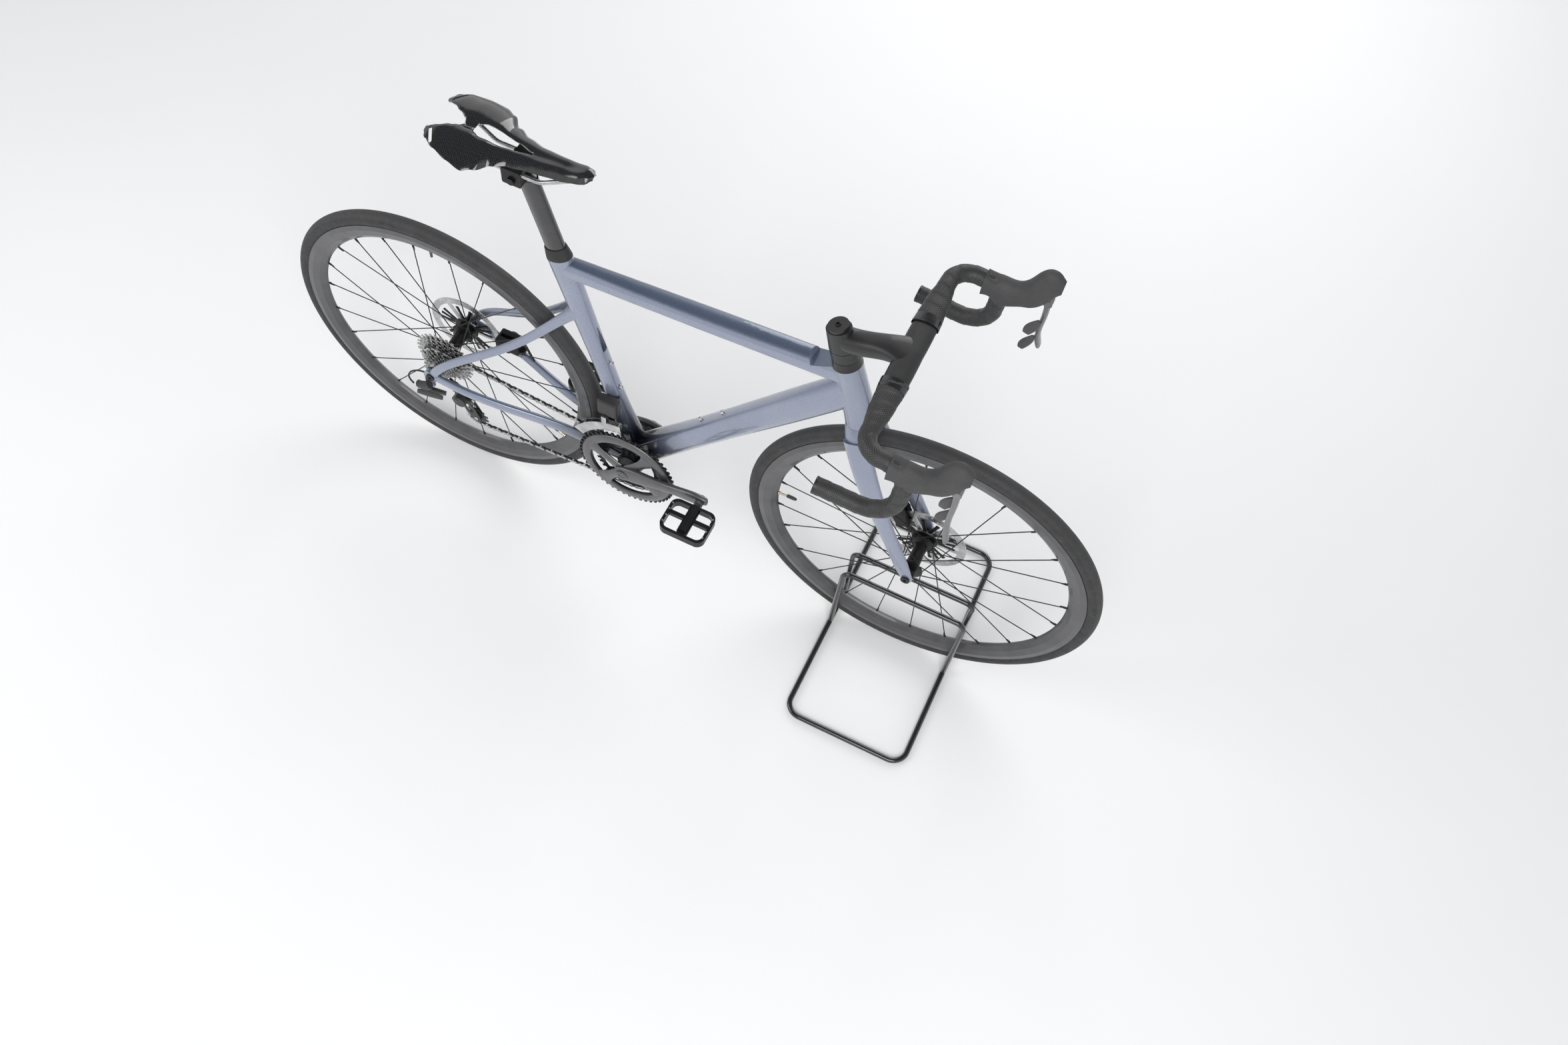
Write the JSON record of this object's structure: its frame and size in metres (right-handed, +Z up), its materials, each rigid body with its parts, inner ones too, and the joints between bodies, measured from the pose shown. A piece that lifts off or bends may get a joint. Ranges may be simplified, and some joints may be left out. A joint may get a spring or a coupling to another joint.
{
  "type": "bicycle on stand",
  "caption": "Drop-bar road bicycle with disc brakes and derailleur gears, front wheel held upright between the hoops of a bent-rod floor stand.",
  "frame": {"origin": "on the floor, midway between the two axles and in the bicycle's middle plane", "axes": "+X forward, +Y to the rider's left, +Z up"},
  "size_m": [1.668, 0.526, 0.9821],
  "materials": {
    "frame_paint": "gloss metallic",
    "bare_alloy": "satin",
    "black_alloy": "satin anodised",
    "crank_grey": "satin",
    "steel": "brushed",
    "chain_steel": "polished plates",
    "carbon_black": "gloss clear coat",
    "matte_carbon": "matte",
    "rubber": "matte",
    "hood_rubber": "matte ribbed",
    "tape": "perforated",
    "tyre": "matte",
    "hose": "satin",
    "stand_steel": "gloss black",
    "saddle_cover": "gloss weave"
  },
  "bodies": {
    "frame": {"front_frame": "frame_paint", "chain_stays": "frame_paint", "seat_stays": "frame_paint", "bottom_bracket_cups": "black_alloy", "headset_bearings": "steel", "bottle_bolts": "bare_alloy", "seat_clamp_cover": "rubber", "rear_thru_axle": "black_alloy", "rear_caliper": "black_alloy", "rear_brake_hose": "hose", "shift_wire": "hose", "front_derailleur_body": "black_alloy", "rear_derailleur_knuckle": "black_alloy", "chain": "chain_steel"},
    "steering": {"fork": "frame_paint", "stem_spacers": "matte_carbon", "bar_stem": "matte_carbon", "bar_tape": "tape", "bar_end_plugs": "matte_carbon", "lever_hoods": "hood_rubber", "lever_brackets": "carbon_black", "front_thru_axle": "black_alloy", "front_caliper": "black_alloy", "front_brake_hose": "hose"},
    "front_wheel": {"front_tyre": "tyre", "front_rim": "matte_carbon", "front_spokes": "black_alloy", "front_hub": "black_alloy", "front_rotor": "steel"},
    "rear_wheel": {"rear_tyre": "tyre", "rear_rim": "matte_carbon", "rear_spokes": "black_alloy", "rear_hub": "black_alloy", "rear_rotor": "steel"},
    "driver": {"freehub": "steel", "cassette": "steel"},
    "crank": {"drive_crank": "crank_grey", "left_crank": "crank_grey", "outer_chainring": "black_alloy", "inner_chainring": "black_alloy"},
    "right_pedal": {"right_pedal": "black_alloy"},
    "left_pedal": {"left_pedal": "black_alloy"},
    "front_shifter": {"front_derailleur_cage": "black_alloy"},
    "rear_shifter": {"rear_derailleur_cage_knuckle": "black_alloy"},
    "outer_link": {"rear_derailleur_link_outer": "black_alloy"},
    "inner_link": {"rear_derailleur_link_inner": "black_alloy"},
    "chain_cage": {"rear_derailleur_cage": "black_alloy"},
    "guide_pulley": {"guide_pulley": "matte_carbon"},
    "tension_pulley": {"tension_pulley": "matte_carbon"},
    "seatpost": {"seatpost": "carbon_black"},
    "seat_cradle": {"seat_cradle": "black_alloy"},
    "saddle": {"saddle": "saddle_cover", "saddle_rails": "steel"},
    "stand": {"stand": "stand_steel"},
    "brake_lever_left": {"brake_lever_left": "carbon_black"},
    "shift_paddle_upper_left": {"shift_paddle_upper_left": "matte_carbon"},
    "shift_paddle_lower_left": {"shift_paddle_lower_left": "matte_carbon"},
    "brake_lever_right": {"brake_lever_right": "carbon_black"},
    "shift_paddle_upper_right": {"shift_paddle_upper_right": "matte_carbon"},
    "shift_paddle_lower_right": {"shift_paddle_lower_right": "matte_carbon"}
  },
  "joints": [
    {"name": "steering_turn", "type": "hinge", "parent": "frame", "child": "steering", "pos_m": [0.33399, 0, 0.66515], "axis": [-0.3223, 0, 0.9466], "range_deg": [-60, 60]},
    {"name": "front_wheel_spin", "type": "hinge", "parent": "steering", "child": "front_wheel", "pos_m": [0.4945, 0, 0.3395], "axis": [0, 1, 0], "continuous": true},
    {"name": "rear_wheel_spin", "type": "hinge", "parent": "frame", "child": "rear_wheel", "pos_m": [-0.4945, 0, 0.3395], "axis": [0, 1, 0], "continuous": true},
    {"name": "crank_spin", "type": "hinge", "parent": "frame", "child": "crank", "pos_m": [-0.08266, 0, 0.271], "axis": [0, 1, 0], "continuous": true, "deforming": ["chain"]},
    {"name": "driver_spin", "type": "hinge", "parent": "frame", "child": "driver", "pos_m": [-0.4945, 0, 0.3395], "axis": [0, 1, 0], "continuous": true, "deforming": ["chain"]},
    {"name": "right_pedal_spin", "type": "hinge", "parent": "crank", "child": "right_pedal", "pos_m": [0.08575, -0.12, 0.30834], "axis": [0, 1, 0], "continuous": true},
    {"name": "left_pedal_spin", "type": "hinge", "parent": "crank", "child": "left_pedal", "pos_m": [-0.25107, 0.12, 0.23366], "axis": [0, 1, 0], "continuous": true},
    {"name": "front_shift", "type": "slide", "parent": "frame", "child": "front_shifter", "axis": [0, -1, 0], "range_m": [0, 0.007], "deforming": ["chain"]},
    {"name": "rear_shift", "type": "slide", "parent": "frame", "child": "rear_shifter", "axis": [0, 1, 0], "range_m": [-0.0223, 0.0149], "deforming": ["chain"]},
    {"name": "outer_link_turn", "type": "hinge", "parent": "frame", "child": "outer_link", "pos_m": [-0.5285, -0.089, 0.2835], "axis": [0.2234, 0, 0.9747], "range_deg": [-26.5, 18]},
    {"name": "inner_link_turn", "type": "hinge", "parent": "frame", "child": "inner_link", "pos_m": [-0.5285, -0.077, 0.2835], "axis": [0.2234, 0, 0.9747], "range_deg": [-26.5, 18]},
    {"name": "chain_cage_turn", "type": "hinge", "parent": "rear_shifter", "child": "chain_cage", "pos_m": [-0.4565, 0, 0.2545], "axis": [0, 1, 0], "range_deg": [-30, 30], "stiffness_Nm_per_rad": 0.4, "deforming": ["chain"]},
    {"name": "guide_pulley_spin", "type": "hinge", "parent": "chain_cage", "child": "guide_pulley", "pos_m": [-0.4565, -0.041, 0.2545], "axis": [0, 1, 0], "continuous": true, "deforming": ["chain"]},
    {"name": "tension_pulley_spin", "type": "hinge", "parent": "chain_cage", "child": "tension_pulley", "pos_m": [-0.43047, -0.041, 0.20044], "axis": [0, 1, 0], "continuous": true, "deforming": ["chain"]},
    {"name": "seatpost_height", "type": "slide", "parent": "frame", "child": "seatpost", "axis": [-0.2756, 0, 0.9613], "range_m": [-0.06, 0.06]},
    {"name": "saddle_tilt", "type": "hinge", "parent": "seatpost", "child": "seat_cradle", "pos_m": [-0.27819, 0, 0.924], "axis": [0, 1, 0], "range_deg": [-8, 8]},
    {"name": "saddle_setback", "type": "slide", "parent": "seat_cradle", "child": "saddle", "axis": [1, 0, 0], "range_m": [-0.015, 0.015]},
    {"name": "stand_drop", "type": "slide", "parent": "steering", "child": "stand", "axis": [0, 0, 1], "range_m": [-0.215, 0]},
    {"name": "brake_pull_left", "type": "hinge", "parent": "steering", "child": "brake_lever_left", "pos_m": [0.53289, 0.191, 0.87], "axis": [0, 1, 0], "range_deg": [0, 14], "stiffness_Nm_per_rad": 1.5},
    {"name": "shift_press_upper_left", "type": "hinge", "parent": "brake_lever_left", "child": "shift_paddle_upper_left", "pos_m": [0.53189, 0.179, 0.829], "axis": [0, 1, 0], "range_deg": [0, 6], "stiffness_Nm_per_rad": 0.4},
    {"name": "shift_press_lower_left", "type": "hinge", "parent": "brake_lever_left", "child": "shift_paddle_lower_left", "pos_m": [0.53189, 0.179, 0.792], "axis": [0, 1, 0], "range_deg": [0, 6], "stiffness_Nm_per_rad": 0.4},
    {"name": "brake_pull_right", "type": "hinge", "parent": "steering", "child": "brake_lever_right", "pos_m": [0.53289, -0.191, 0.87], "axis": [0, 1, 0], "range_deg": [0, 14], "stiffness_Nm_per_rad": 1.5},
    {"name": "shift_press_upper_right", "type": "hinge", "parent": "brake_lever_right", "child": "shift_paddle_upper_right", "pos_m": [0.53189, -0.179, 0.829], "axis": [0, 1, 0], "range_deg": [0, 6], "stiffness_Nm_per_rad": 0.4},
    {"name": "shift_press_lower_right", "type": "hinge", "parent": "brake_lever_right", "child": "shift_paddle_lower_right", "pos_m": [0.53189, -0.179, 0.792], "axis": [0, 1, 0], "range_deg": [0, 6], "stiffness_Nm_per_rad": 0.4}
  ],
  "couplings": [
    {"joint": "driver_spin", "follows": "crank_spin", "ratio": 1.7895},
    {"joint": "guide_pulley_spin", "follows": "crank_spin", "ratio": -3.0909},
    {"joint": "tension_pulley_spin", "follows": "crank_spin", "ratio": 3.0909},
    {"joint": "outer_link_turn", "follows": "rear_shift", "rad_per_m": 20.307},
    {"joint": "inner_link_turn", "follows": "rear_shift", "rad_per_m": 20.307}
  ]
}
